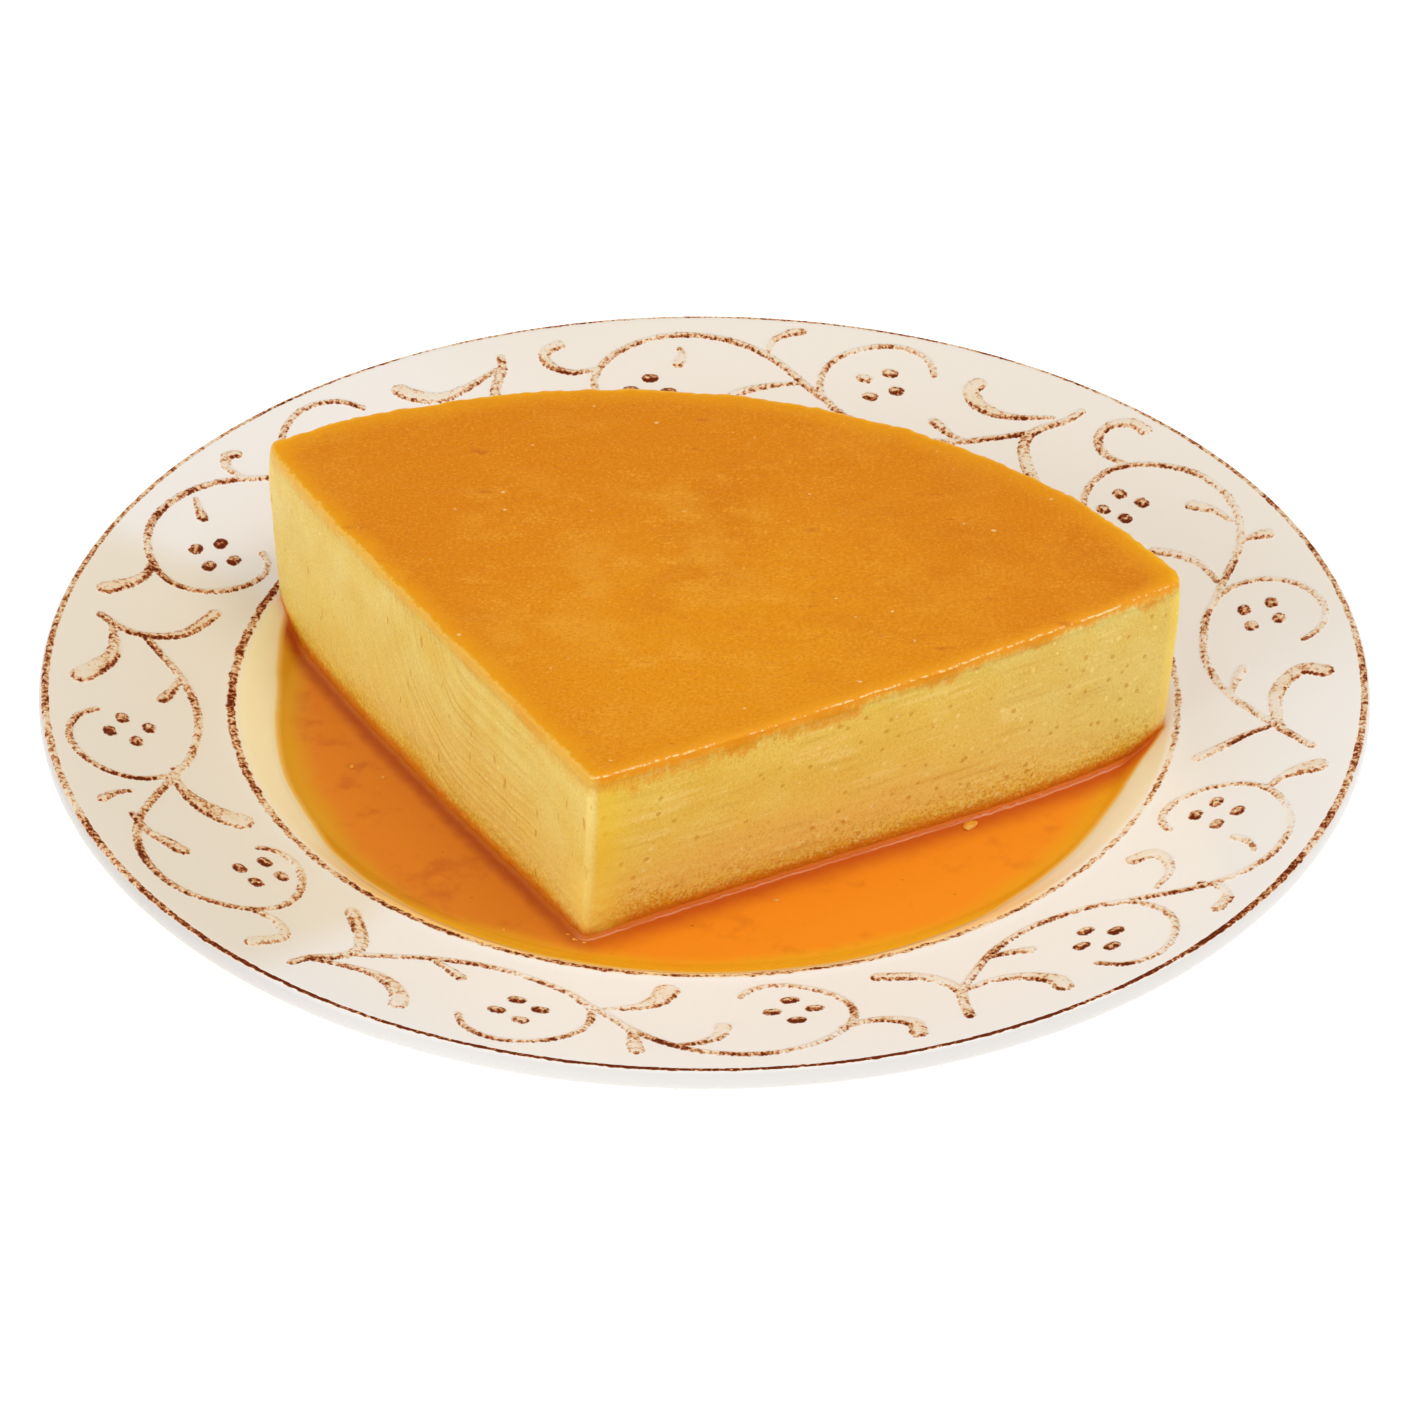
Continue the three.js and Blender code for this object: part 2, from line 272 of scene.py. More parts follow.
vine_tree = kdtree.KDTree(len(vine_samples))
for i, (point, half_width, wear) in enumerate(vine_samples):
    vine_tree.insert(point, i)
vine_tree.balance()


def vine_at(point):
    """How far a flat point lies inside the nearest stroke's edge, the side that it is on, and the wear."""
    inside, side, worn = -vine_reach, 0.0, 0.0
    for place, i, distance in vine_tree.find_range(point, vine_reach):
        half_width = vine_samples[i][1]
        if half_width - distance > inside:
            inside = half_width - distance
            side = (place.y - point.y) / half_width
            worn = vine_samples[i][2]
    return inside, side, worn


def spin_profile(profile, steps):
    """A closed body turned round the upright axis from an outline in millimetres."""
    bm = bmesh.new()
    chain = [bm.verts.new((radius * MM, 0, height * MM)) for radius, height in profile]
    edges = [bm.edges.new(pair) for pair in zip(chain, chain[1:])]
    bmesh.ops.spin(bm, geom=chain + edges, cent=(0, 0, 0), axis=(0, 0, 1), angle=math.tau, steps=steps,
                   use_merge=True, use_duplicate=False)
    bmesh.ops.remove_doubles(bm, verts=bm.verts, dist=1e-6)
    bmesh.ops.recalc_face_normals(bm, faces=bm.faces)
    return bm


def finish_mesh(bm, name):
    """Makes the object of a finished mesh, smooth shaded, at the origin."""
    mesh = bpy.data.meshes.new(name)
    bm.to_mesh(mesh)
    bm.free()
    mesh.shade_smooth()
    made = bpy.data.objects.new(name, mesh)
    bpy.context.scene.collection.objects.link(made)
    return made


bm = spin_profile(plate_profile, plate_spin_steps)
rim_faces = []
for face in bm.faces:
    middle = face.calc_center_median() / MM
    radius = math.hypot(middle.x, middle.y)
    if vine_starts < radius < vine_ends and face.normal.z > 0:
        place, i, distance = vine_tree.find(Vector((middle.x, middle.y, 0)))
        if distance < vine_samples[i][1] + relief_margin:
            rim_faces.append(face)
rim_edges = list({edge for face in rim_faces for edge in face.edges})
bmesh.ops.subdivide_edges(bm, edges=rim_edges, cuts=relief_cuts, use_grid_fill=True)
bm.normal_update()
inside_layer = bm.verts.layers.float.new("vine_inside")
side_layer = bm.verts.layers.float.new("vine_side")
wear_layer = bm.verts.layers.float.new("vine_wear")
face_layer = bm.verts.layers.float.new("food_face")
for vert in bm.verts:
    vert[face_layer] = float(vert.normal.z > 0)
    vert[inside_layer] = -vine_reach
    flat = Vector((vert.co.x, vert.co.y, 0)) / MM
    if vine_starts < flat.length < vine_ends + 0.5 and vert.normal.z > 0:
        vert[inside_layer], vert[side_layer], vert[wear_layer] = vine_at(flat)
        vert.co.z += relief_rise * ease((vert[inside_layer] + relief_skirt) / relief_shoulder) * MM
plate = finish_mesh(bm, "stoneware_plate")


class Wire:
    """A value in a material. Sums with numbers and other values add the Math nodes that they need."""

    def __init__(self, finish, socket):
        self.finish = finish
        self.socket = socket

    def sum(self, operation, first, second=0.0):
        return self.finish.node("ShaderNodeMath", {"operation": operation}, {0: first, 1: second})

    def __add__(self, other):
        return self.sum("ADD", self, other)

    def __radd__(self, other):
        return self.sum("ADD", other, self)

    def __sub__(self, other):
        return self.sum("SUBTRACT", self, other)

    def __rsub__(self, other):
        return self.sum("SUBTRACT", other, self)

    def __mul__(self, other):
        return self.sum("MULTIPLY", self, other)

    def __rmul__(self, other):
        return self.sum("MULTIPLY", other, self)

    def __truediv__(self, other):
        return self.sum("DIVIDE", self, other)

    def __rtruediv__(self, other):
        return self.sum("DIVIDE", other, self)

    def __pow__(self, other):
        return self.sum("POWER", self, other)

    def __rpow__(self, other):
        return self.sum("POWER", other, self)

    def __abs__(self):
        return self.sum("ABSOLUTE", self)

    def at_least(self, other):
        return self.sum("MAXIMUM", self, other)

    def at_most(self, other):
        return self.sum("MINIMUM", self, other)

    def rise(self, low, high, start=0.0, end=1.0):
        """Goes smoothly from start to end as this value goes from low to high."""
        return self.finish.node("ShaderNodeMapRange", {"interpolation_type": "SMOOTHSTEP"}, {
            "Value": self, "From Min": low, "From Max": high, "To Min": start, "To Max": end})


def apart(first, second):
    """The distance that two offsets at right angles make."""
    return (first * first + second * second) ** 0.5


class Finish:
    """The material of one piece, or the sky, and its node tree."""

    def __init__(self, name, kinds=bpy.data.materials):
        self.owner = kinds.new(name)
        self.owner.use_nodes = True
        self.tree = self.owner.node_tree
        self.tree.nodes.clear()

    def node(self, kind, settings, values, output=0):
        """Adds a node, gives it its settings, then its sockets' values or links, and returns an output."""
        made = self.tree.nodes.new(kind)
        for setting, value in settings.items():
            setattr(made, setting, value)
        for socket, value in values.items():
            if isinstance(value, Wire):
                self.tree.links.new(value.socket, made.inputs[socket])
            else:
                made.inputs[socket].default_value = value
        return Wire(self, made.outputs[output])

    def place(self):
        return self.node("ShaderNodeTexCoord", {}, {}, "Object")

    def axes(self):
        """How far across, back and up a place is, in millimetres."""
        split = self.node("ShaderNodeSeparateXYZ", {}, {0: self.place()})
        outputs = split.socket.node.outputs
        return [Wire(self, outputs[axis]) * (1 / MM) for axis in range(3)]

    def attribute(self, name):
        return self.node("ShaderNodeAttribute", {"attribute_name": name}, {}, "Fac")

    def grain(self, size, detail=2.0, at=None, rough=0.5):
        """Cloudy noise from 0 to 1 whose lumps are about size millimetres wide."""
        return self.node("ShaderNodeTexNoise", {}, {
            "Vector": at or self.place(), "Scale": 1 / (size * MM), "Detail": detail, "Roughness": rough})

    def blend(self, share, first, second):
        """A colour between two."""
        return self.node("ShaderNodeMix", {"data_type": "RGBA"}, {0: share, 6: first, 7: second}, 2)

    def coats(self, colour, *layers):
        """Lays colours one after another over a first one, each by its share."""
        for share, over in layers:
            colour = self.blend(share, colour, over)
        return colour

    def bump(self, height, distance, strength=1.0):
        values = {"Height": height, "Distance": distance * MM, "Strength": strength}
        return self.node("ShaderNodeBump", {}, values)

    def surface(self, **values):
        """Ends the material in a Principled surface with these sockets."""
        named = {name.replace("_", " "): value for name, value in values.items()}
        return self.end("ShaderNodeOutputMaterial", self.node("ShaderNodeBsdfPrincipled", {}, named))

    def end(self, kind, shader):
        out = self.tree.nodes.new(kind)
        self.tree.links.new(shader.socket, out.inputs["Surface"])
        return self.owner


def paint(red, green, blue):
    """A colour from its three parts as seen, 0 to 255."""
    def linear(part):
        part /= 255
        return part / 12.92 if part <= 0.04045 else ((part + 0.055) / 1.055) ** 2.4
    return (linear(red), linear(green), linear(blue), 1)


cream = paint(244, 238, 231)
# Painted shade: the cream is warmer and darker on the left and at the back, where the custard's shade and
# warm bounce fall.
shaded_warm_cream = paint(236, 225, 206)
# The syrup's stain in the well, partly painted light: paler than a glaze could be, to make up for the shade
# in the well.
stain_and_light_cream = paint(250, 241, 203)
tan_stain = paint(246, 217, 162)
left_tan = paint(235, 203, 151)
deep_tan = paint(255, 208, 128)
# Painted shade: the lip's outer band is painted grey, and darker still on the left.
shaded_grey_lip = paint(222, 218, 214)
shaded_lip = paint(206, 201, 196)
worn_body = paint(235, 208, 168)
tan_edge = paint(220, 172, 116)
rust = paint(184, 108, 62)
dark_brown = paint(102, 38, 8)
left_way = Vector((-0.966, -0.259))
back_way = Vector((0.5, 0.87))


def wall_cream(finish, across, back, from_middle, stained=1.0):
    """The cream of the glaze, with painted shade, warmer and darker, on the left and at the back (on the
    underside too), and stained in the well, the stain painted paler to stand in for light.
    """
    to_left = (across * left_way.x + back * left_way.y) / from_middle
    to_back = across * back_way.x + back * back_way.y
    # Painted shade on the left and at the back of the plate.
    left_back_shade = to_left.rise(0.78, 0.845).at_least(to_back.rise(40, 85) * 0.55)
    in_front = back.rise(-66, -50, 1, 0)
    in_well = (from_middle - in_front * 1.2).rise(80, 82, 1, 0)
    in_well = in_well * (across.rise(-50, 40, 0.95, 0.65) + in_front * 0.2) * stained
    tanned = back.rise(-62, -40, 1, 0) + across.rise(74, 80) * 0.7
    tanned_left = across.rise(-65, -35, 1, 0) * tanned
    stain = finish.coats(stain_and_light_cream, (tanned, tan_stain), (tanned_left, left_tan), (in_front, deep_tan))
    return finish.coats(cream, (left_back_shade, shaded_warm_cream), (in_well, stain))


glaze = Finish("cream_glaze")
across, back, up = glaze.axes()
from_middle = apart(across, back)
specks = glaze.grain(0.75, 3, rough=0.65)
patches = glaze.grain(8, 2) - 0.5
inside = glaze.attribute("vine_inside")
wear = glaze.attribute("vine_wear")
on_face = glaze.attribute("food_face")
# The strokes are browner on the flank that faces the front: the glaze's own breaking with painted shade on
# top.
front_flank_shade = glaze.attribute("vine_side").rise(-0.4, 0.7)
# Painted shade: the vine is browner and the ring line broader towards the left.
left_rim_shade = across.rise(-95, -30, 0.36, 0)
stroke = (inside + (specks - 0.5) * 0.6).rise(-0.2, 0.15)
stroke_edge = abs(inside - 0.2).rise(0.15, 0.65, 1, 0)
leaf_middle = inside.rise(0.55, 1.0)
vine_cover = wear * 0.3 + stroke_edge * (front_flank_shade * 0.45 + 0.02) + patches * 2.1 - leaf_middle * 0.2
vine_cover = vine_cover + left_rim_shade * 0.6 - 0.02

wobble = (glaze.grain(1.6, 1.5) - 0.5) * 1.2
ring_off = abs(from_middle - (ring_radius - 0.1) + wobble) - left_rim_shade * 0.7
ring_line = ring_off.rise(0.3, 0.7, 1, 0)
ring_cover = patches * 2.2 + across.rise(-60, 60, 0.8, 0.45)
lip_off = abs(from_middle - rim_line_radius + 0.15 + wobble * 0.35)
lip_off = lip_off + back.rise(-30, 60, 0, 0.12) - abs(across).rise(60, 105) * 0.28
lip_line = lip_off.rise(0.26, 0.48, 1, 0) * up.rise(rim_line_height - 0.8, rim_line_height - 0.3)
lip_cover = patches * 1.8 + back.rise(-95, -40, 1.15, 0.62)
line_cover = ring_cover + (lip_cover - ring_cover) * from_middle.rise(97, 99)

on_line = ring_line + lip_line
bare = (on_line + stroke * (1 - on_line)) * on_face
cover = vine_cover + (line_cover - vine_cover) * on_line
breaking = specks + cover * 0.28 + back.rise(-92, -60, 0.035, 0)
brown = bare * breaking.rise(0.63, 0.74)
lip = from_middle.rise(rim_line_radius + 0.1, rim_line_radius + 0.7)
glaze_colour = glaze.coats(
    wall_cream(glaze, across, back, from_middle, on_face),
    # painted shade: the lip greyer, darker on the left
    (lip, glaze.blend(across.rise(-95, -40, 1, 0), shaded_grey_lip, shaded_lip)),
    (bare * (cover.rise(-0.3, 0.7, 0.15, 0.75) + leaf_middle * 0.25), worn_body),
    (bare * breaking.rise(0.52, 0.68) * 0.85, tan_edge),
    (brown, rust),
    (bare * breaking.rise(0.71, 0.83), dark_brown),
    (up.rise(0.4, 0.8, 1, 0), worn_body))
plate.data.materials.append(glaze.surface(
    Base_Color=glaze_colour, Normal=glaze.bump(glaze.grain(14, 1.0) * 0.5 - brown * 0.06, 0.5, 0.5),
    Roughness=0.6, IOR=1.5, Specular_IOR_Level=0.05,
    Coat_Weight=brown.rise(0, 0.7, 0.75, 0), Coat_Roughness=0.22, Coat_IOR=1.5))
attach(plate, "root")
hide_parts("plate")


# ---------------------------------------------------------------- custard
# The wedge is a quarter of a round baked custard: two faces cut with a knife, one that lay against the pan.
# It is soft, so its foot swells a little where it stands in the syrup, and it rests up the well's wall.

top_height = 46.1
caramel_depth = 2.2
joint_height = top_height - caramel_depth
joint_gap = 0.02
plate_gap = 0.05
base_corners = {"cut": Vector((-19.8, -65.9)), "right": Vector((78.2, -10.2)), "left": Vector((-73.8, 27.3))}
top_corners = {"cut": Vector((-18.3, -68.6)), "right": Vector((80.9, -9.7)), "left": Vector((-76, 32.3))}
corner_belly = {"cut": 0, "right": 1.0, "left": 1.7}
side_ends = {"right cut": ("cut", "right"), "pan": ("right", "left"), "left cut": ("left", "cut")}
# How far each cut face swells past straight: its depth, which way that leans, and how evenly it is spread.
top_swell = {"right cut": (2.5, 1.15, 0.5), "left cut": (2.3, 0.45, 1)}
foot_swell = {"right cut": (2.2, 2.4, 1), "left cut": (3.0, 0.6, 1)}
pan_radius = 108.1
side_steps = {"right cut": 320, "pan": 250, "left cut": 320}
wall_rows = 88
corner_round = {"cut": 1.1, "right": 1.8, "left": 1.8}
corner_tuck = 0.36
corner_calm = 2.5
rag_depth = 2
rag_size = {"right cut": 0.9, "pan": 1.3, "left cut": 0.6}
knife_turn = 76
wedge_middle = sum(top_corners.values(), Vector((0, 0))) / 3


def swell_at(shape, share):
    depth, lean, spread = shape
    return depth * max(math.sin(math.pi * share ** lean), 0) ** spread


def corner_at(name, lift):
    """Where an upright edge of the wedge is at a height; the two at the back lean out at half height."""
    top = top_corners[name]
    belly = corner_belly[name] * (1 - abs(2 * lift - 1) ** 4)
    return base_corners[name].lerp(top, lift) + (top - wedge_middle).normalized() * belly


def outline_at(side, share, lift):
    """A flat point of the wedge's outline and the way out of it; lift is 0 at its foot and 1 on top."""
    start, end = [corner_at(name, lift) for name in side_ends[side]]
    along = (end - start).normalized()
    out = Vector((along.y, -along.x))
    if side != "pan":
        swell = swell_at(top_swell[side], share) * lift + swell_at(foot_swell[side], share) * (1 - lift) ** 2
        return start.lerp(end, share) + out * swell, out
    half = (end - start).length / 2
    centre = (start + end) / 2 - out * math.sqrt(pan_radius ** 2 - half ** 2)
    sweep = 2 * math.asin(half / pan_radius)
    spoke = start - centre
    spoke.rotate(Matrix.Rotation(sweep * share, 2))
    return centre + spoke, spoke.normalized()


side_lengths = {}
length_steps = 20
for side in side_ends:
    marks = [outline_at(side, step / length_steps, 1)[0] for step in range(length_steps + 1)]
    side_lengths[side] = sum((b - a).length for a, b in zip(marks, marks[1:]))


def ripple(x, y, pattern):
    """Smooth noise of about a unit's width, from -1 to 1; the last number picks one of its patterns."""
    return noise.noise(Vector((x, y, pattern)))


def skin(side, along, height):
    """How far the custard's surface stands out at a distance along a side, in millimetres."""
    # Each ripple is as broad as its place is divided by and as deep as it is multiplied by.
    if side == "left cut":
        from_knife = math.hypot(min(along - knife_turn, 0), top_height - height)
        strokes = ripple(from_knife / 1.1, along / 40, 0.4) * 0.14
        strokes += ripple(from_knife / 0.6, along / 30, 4.4) * 0.05
        drawn = clamp(along / 60) * clamp((104 - along) / 12)
        stand = strokes * drawn + ripple(along / 15, height / 9, 3.1) * 0.25
    elif side == "right cut":
        streaks = ripple(along / 38, (height + along * 0.05) / 1.3, 5.2) * 0.05
        stand = streaks + ripple(along / 16, height / 8, 8.5) * 0.25
    else:
        stand = ripple(along / 22, height / 13, 6.7) * 0.5 + ripple(along / 5, height / 5, 2.9) * 0.1
    low = max(0, 1 - (height - syrup_height) / 16)
    stand += low * ripple(along / 1.3, height / 1.1, 1.7) * 0.2
    near_top = clamp((height - top_height + rag_depth) / rag_depth)
    rag = ripple(along / 6.5, 1.5, 9.9) * 0.5 + ripple(along / 2.2, 2.5, 7.7) * 0.3
    rag += ripple(along / 0.95, 3.5, 5.5) * 0.35
    return stand + near_top * near_top * rag * rag_size[side]


def side_point(side, share, height):
    """A flat point of the wedge's skin at a share of a side and a height, in millimetres."""
    lift = (height - floor_height) / (top_height - floor_height)
    flat, out = outline_at(side, share, lift)
    along = share * side_lengths[side]
    to_corner = min(along, side_lengths[side] - along)
    flat = flat + out * skin(side, along, height) * min(to_corner / corner_calm, 1)
    reach = corner_round[side_ends[side][0 if share < 0.5 else 1]]
    tuck = corner_tuck * reach * max(0, 1 - to_corner / reach) ** 2
    return flat + (wedge_middle - flat).normalized() * tuck


def foot_height(side, share):
    """Where a side of the wedge meets the plate."""
    height = floor_height
    for again in range(3):
        lift = (height - floor_height) / (top_height - floor_height)
        height = face_height(outline_at(side, share, lift)[0].length) + plate_gap
    return height


def bent_grid(bm, columns, rows, bend):
    """Adds a grid and carries each of its points, from 0 to 1 both ways, to where bend puts it."""
    made = bmesh.ops.create_grid(bm, x_segments=columns, y_segments=rows, size=0.5)
    for vert in made["verts"]:
        vert.co = Vector(bend(vert.co.x + 0.5, vert.co.y + 0.5)) * MM


def open_loops(bm):
    """The edges round each open end of a shell, one list for each end."""
    waiting = {edge for edge in bm.edges if edge.is_boundary}
    loops = []
    while waiting:
        front = [waiting.pop()]
        loop = list(front)
        while front:
            edge = front.pop()
            for vert in edge.verts:
                for other in vert.link_edges:
                    if other in waiting:
                        waiting.remove(other)
                        front.append(other)
                        loop.append(other)
        loops.append(loop)
    return loops


sharp_angle = 1.2
seam_width = 0.005


def close_ends(bm):
    """Merges a shell's seams and fills each of its open ends, sharp at the edge and wherever it folds."""
    bmesh.ops.remove_doubles(bm, verts=bm.verts, dist=seam_width * MM)
    for loop in open_loops(bm):
        for edge in loop:
            edge.smooth = False
        bmesh.ops.triangle_fill(bm, edges=loop, use_beauty=True, use_dissolve=False)
    bmesh.ops.recalc_face_normals(bm, faces=bm.faces)
    for edge in bm.edges:
        if edge.calc_face_angle(0) > sharp_angle:
            edge.smooth = False


bm = bmesh.new()
for side, steps in side_steps.items():
    def wall(share, rise):
        foot = foot_height(side, share)
        height = foot + (joint_height - joint_gap - foot) * rise
        flat = side_point(side, share, height)
        return flat.x, flat.y, height
    bent_grid(bm, steps, wall_rows, wall)
close_ends(bm)
custard = finish_mesh(bm, "custard_wedge")

pale_custard = paint(232, 208, 119)
warm_custard = paint(228, 193, 90)
# The right cut face's colours, a deeper yellow than the left face's, which is painted shade.
right_shade_custard = paint(235, 205, 97)
right_shade_deep_custard = paint(231, 193, 77)
# Painted light: a paler custard over the lower sides, for the light that the syrup and the plate take from
# them.
painted_light_custard = paint(242, 213, 112)
soft_gold = paint(238, 196, 50)
soaked_custard = paint(226, 160, 10)
wet_foot = paint(226, 126, 10)
stained_custard = paint(235, 152, 28)
left_stain = paint(230, 173, 66)
caramel_stain = paint(226, 146, 14)
stroke_yellow = paint(212, 166, 66)
pore_brown = paint(208, 154, 50)
slit_brown = paint(204, 146, 48)
fleck_brown = paint(204, 146, 38)
fleck_pale = paint(250, 230, 150)
# Painted highlights: a pale line down the cut corner, and paler custard low beside it.
corner_highlight = paint(246, 222, 138)
corner_yellow = paint(240, 200, 50)
low_corner_lit = paint(254, 230, 116)
edge_yellow = paint(250, 222, 84)
# Painted light: the pan side is paler and warmer, for the little light that reaches it.
pan_side_light = paint(248, 208, 134)
left_corner = top_corners["left"]
left_face_way = Vector((-0.866, -0.5))
knife_way = Vector((0.5045, -0.8634))
cut_lean = (top_corners["cut"] - base_corners["cut"]) / (top_height - floor_height)
wall_slope = (ring_height - 0.6 - syrup_height) / (ring_radius - 1.6 - syrup_radius)
bubble_spacing = 2.3


def stretched(finish, scale, turn=0):
    """The place on a piece, scaled along each axis and turned, for a pattern that runs one way."""
    values = {"Vector": finish.place(), "Rotation": (0, 0, turn), "Scale": scale}
    return finish.node("ShaderNodeMapping", {}, values)


def custard_skin(finish):
    """The colour of the custard's sides and their bump, for the custard and for the sides of its caramel."""
    across, back, height = finish.axes()
    depth = top_height - height
    from_cut = apart(across - base_corners["cut"].x - (height - floor_height) * cut_lean.x,
                     back - base_corners["cut"].y - (height - floor_height) * cut_lean.y)
    on_left = (across * left_face_way.x + back * left_face_way.y).rise(48, 49.6)
    on_right = 1 - on_left
    on_pan = (from_cut - height * 0.19).rise(106.5, 109)
    clouds = finish.grain(9, 2)
    fine = finish.grain(0.42, 2, rough=0.6) - 0.5
    grainy = finish.grain(0.55, 1.5)

    along = (across - left_corner.x) * knife_way.x + (back - left_corner.y) * knife_way.y
    from_knife = apart((along - knife_turn).at_most(0), depth) + (clouds - 0.5) * 2
    lines = finish.node("ShaderNodeTexNoise", {"noise_dimensions": "1D"},
                        {"W": from_knife, "Scale": 1.1, "Detail": 2.0})
    broken = finish.grain(10, 1.5).rise(0.4, 0.6)
    drawn = along.rise(40, 70, 0.1, 1) * along.rise(88, 104, 1, 0)
    strokes = lines.rise(0.5, 0.66) * on_left * drawn * (broken * 0.6 + 0.4)
    layers = finish.grain(1.1, 2, at=stretched(finish, (0.06, 0.06, 1)))
    strata = layers.rise(0.52, 0.7) * on_right * broken
    pale_strata = layers.rise(0.46, 0.34) * on_right * broken

    warm = (clouds + fine * 0.3).rise(0.3, 0.75)
    # Painted shade: the right cut face is a deeper yellow, most towards the cut corner.
    right_face_shade = across.rise(35, 70, 1, 0) * on_right
    plain = finish.blend(warm, finish.blend(right_face_shade, pale_custard, right_shade_custard),
                         finish.blend(right_face_shade, warm_custard, right_shade_deep_custard))
    # Painted light: by the cut corner the soaked gold is kept lower, so the corner is paler.
    corner_light_share = from_cut.rise(2, 16, 1, 0)
    sunk = height + (clouds - 0.5) * 5 + fine * 5 + corner_light_share * (on_left * 1.8 + 0.7)
    low = (height + clouds * 12).rise(19, 30, 1, 0) * (1 - on_left * 0.55)

    right_end = across.rise(20, 65)
    bubbles = {"Vector": finish.place(), "Scale": 1 / (bubble_spacing * MM)}
    bubble_off = finish.node("ShaderNodeTexVoronoi", {}, bubbles, "Distance")
    bubble_kind = finish.node("ShaderNodeTexVoronoi", {}, bubbles, "Color")
    bubble = (bubble_off + fine * 0.12).rise(0.15, 0.25, 1, 0) * on_right
    dots = bubble * (bubble_kind + right_end * 0.2).rise(0.58, 0.66)
    pale_dots = bubble * (bubble_kind - right_end * 0.1).rise(0.26, 0.2)
    slits = finish.grain(1.25, 0.5, at=stretched(finish, (1, 1, 0.3))).rise(0.735, 0.79) * on_left
    pores = dots + slits
    flakes = (finish.grain(1.5, 1) + on_right * 0.015).rise(0.755, 0.79)

    past_pool = (apart(across, back) - syrup_radius).at_least(0)
    foot = (height - past_pool * wall_slope + fine * 2).rise(12.3, 14.8, 1, 0)
    # Painted light low beside the cut corner, and a painted highlight down the corner itself.
    lower_corner_light = from_cut.rise(1, 9, 0.5, 0) * height.rise(20, 28, 1, 0)
    lower_corner_light = lower_corner_light * (height + fine * 2).rise(11.5, 14.5)
    lit = from_cut.rise(0.3, 1.7, 0.5, 0) * (height + clouds * 8).rise(15, 22)
    right_edge = (across - height * 0.07).rise(75.6, 77.2) * height.rise(16, 22) * back.rise(-8.5, -4, 1, 0)

    drips_at = stretched(finish, (1, 1, 0.45))
    drips = finish.grain(2.6, 2, at=drips_at) - 0.5
    fibres = finish.grain(0.8, 1.5, at=drips_at) - 0.5
    runs = finish.grain(11, 1.5) - 0.5
    far_end = from_cut.rise(40, 75) * on_right
    reach = 3.9 + on_right * 0.1 + from_cut.rise(5, 35, 1.8, 0) - far_end
    reach = reach + (drips + runs) * (6 - on_left * 3)
    soaked = depth / reach.at_least(0.8)
    stain = (soaked + fine * 0.7 + fibres * 0.8).rise(0.15, 1, 1, 0)
    smear = (runs + drips * 0.3).rise(0.07, 0.17) * (soaked + fine * 0.4).rise(0.5, 0.95, 1, 0)

    colour = finish.coats(
        plain,
        # painted light: paler towards the bottom
        (height.rise(16, 37, 0.75, 0), painted_light_custard),
        (sunk.rise(13, 19.5, 0.8, 0), soft_gold),
        (sunk.rise(12, 16, 0.95, 0), soaked_custard),
        (strokes * 0.6 + strata * 0.32, stroke_yellow),
        (pale_strata * 0.3, fleck_pale),
        (fine.rise(0.03, 0.2) * 0.38, fleck_pale),
        (fine.rise(-0.03, -0.2) * 0.36, fleck_brown),
        (grainy.rise(0.53, 0.64) * low * 0.65, fleck_brown),
        (grainy.rise(0.43, 0.31) * low * 0.65, fleck_pale),
        (pores * 0.7, finish.blend(on_left, pore_brown, slit_brown)),
        (flakes * 0.8 + pale_dots * 0.5, fleck_pale),
        (on_pan * 0.6, pan_side_light),
        (foot, wet_foot),
        (from_cut.rise(2, 11, 0.65, 0) * on_right, corner_yellow),
        (lower_corner_light, low_corner_lit),
        (lit, corner_highlight),
        (right_edge * 0.4, edge_yellow),
        (stain * 0.95, finish.blend(on_left, stained_custard, left_stain)),
        (smear * (1 - on_left * 0.5) * 0.6, caramel_stain))
    relief = fine * 0.05 + (grainy - 0.5) * (low * 0.2 + 0.03) - strokes * 0.06 - strata * 0.03
    return colour, finish.bump(relief + flakes * 0.1 - pores * 0.05, 1.0, 0.7)


finish = Finish("baked_custard")
colour, bump = custard_skin(finish)
custard.data.materials.append(finish.surface(
    Base_Color=colour, Normal=bump, Roughness=0.38, IOR=1.38, Specular_IOR_Level=0.35,
    Subsurface_Weight=0.4, Subsurface_Radius=(1, 0.65, 0.25), Subsurface_Scale=3.5 * MM))
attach(custard, "root")
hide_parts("custard")


# ---------------------------------------------------------------- caramel top
# The caramel that lay on the pan's bottom has soaked into the custard, which was turned out over it.
# It is a thin amber layer, satin and faintly mottled on top, that fades down the sides and has ragged edges.

edge_drop = 0.3
edge_width = 0.8
brim_dip = 0.08
pit_size = 1.7
pit_from = 0.52
pit_depth = 0.9
pit_margin = 3
rag_reach = 4
fan_columns = side_steps["pan"]
fan_rows = side_steps["left cut"]
band_rows = 7
brim = top_height - edge_drop
brim_lift = (brim - floor_height) / (top_height - floor_height)


def brim_height(flat):
    """The height of the caramel's outer edge at a flat point."""
    waves = ripple(flat.x / 26, flat.y / 26, 2.2) * 0.14 + ripple(flat.x / 5, flat.y / 5, 6.1) * 0.04
    return brim - brim_dip + waves + ripple(flat.x / 1.2, flat.y / 1.2, 8.3) * 0.06


def rag_at(side, share):
    """How far the brim stands off its plain outline at a share of a side."""
    return side_point(side, share, brim) - outline_at(side, share, brim_lift)[0]


